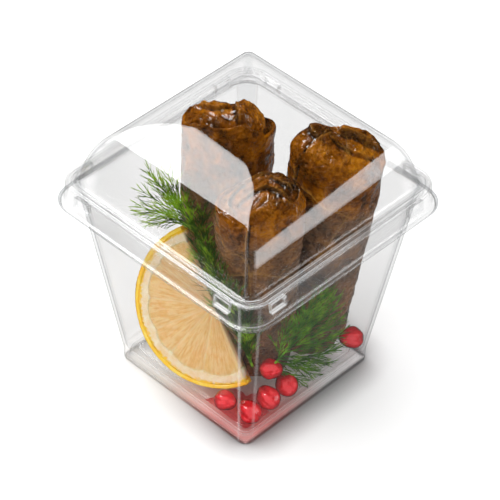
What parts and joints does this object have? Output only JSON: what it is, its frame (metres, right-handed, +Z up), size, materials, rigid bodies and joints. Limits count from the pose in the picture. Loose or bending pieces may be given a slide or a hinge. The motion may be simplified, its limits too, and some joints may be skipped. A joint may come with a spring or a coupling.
{
  "type": "stuffed vine leaves in clear food box",
  "caption": "Stuffed vine-leaf rolls standing in a shut, clear, tapered square food box with a domed lid, beside half a slice of lemon, dill and pomegranate seeds.",
  "frame": {"origin": "on the ground under the middle of the box", "axes": "+Z up out of the lid, X and Y square to the box's sides; the pictured corner points to +X and -Y"},
  "size_m": [0.09, 0.09, 0.1008],
  "materials": {
    "clear_cup": "clear thin moulded plastic",
    "clear_lid": "clear thin moulded plastic",
    "vine_leaf": "wet, oiled, cooked vine leaf",
    "lemon_zest": "pored lemon peel",
    "lemon_pith": "matt white pith",
    "lemon_pulp": "wet cut lemon flesh",
    "dill": "fresh dill leaf",
    "pomegranate": "wet translucent pomegranate flesh"
  },
  "bodies": {
    "root": {"cup": "clear_cup", "lid": "clear_lid", "roll_left": "vine_leaf", "roll_right": "vine_leaf", "roll_front": "vine_leaf", "lemon_zest": "lemon_zest", "lemon_pith": "lemon_pith", "lemon_pulp": "lemon_pulp", "dill_back": "dill", "dill_front": "dill", "seed_1": "pomegranate", "seed_2": "pomegranate", "seed_3": "pomegranate", "seed_4": "pomegranate", "seed_5": "pomegranate", "seed_6": "pomegranate", "seed_7": "pomegranate"}
  },
  "joints": []
}
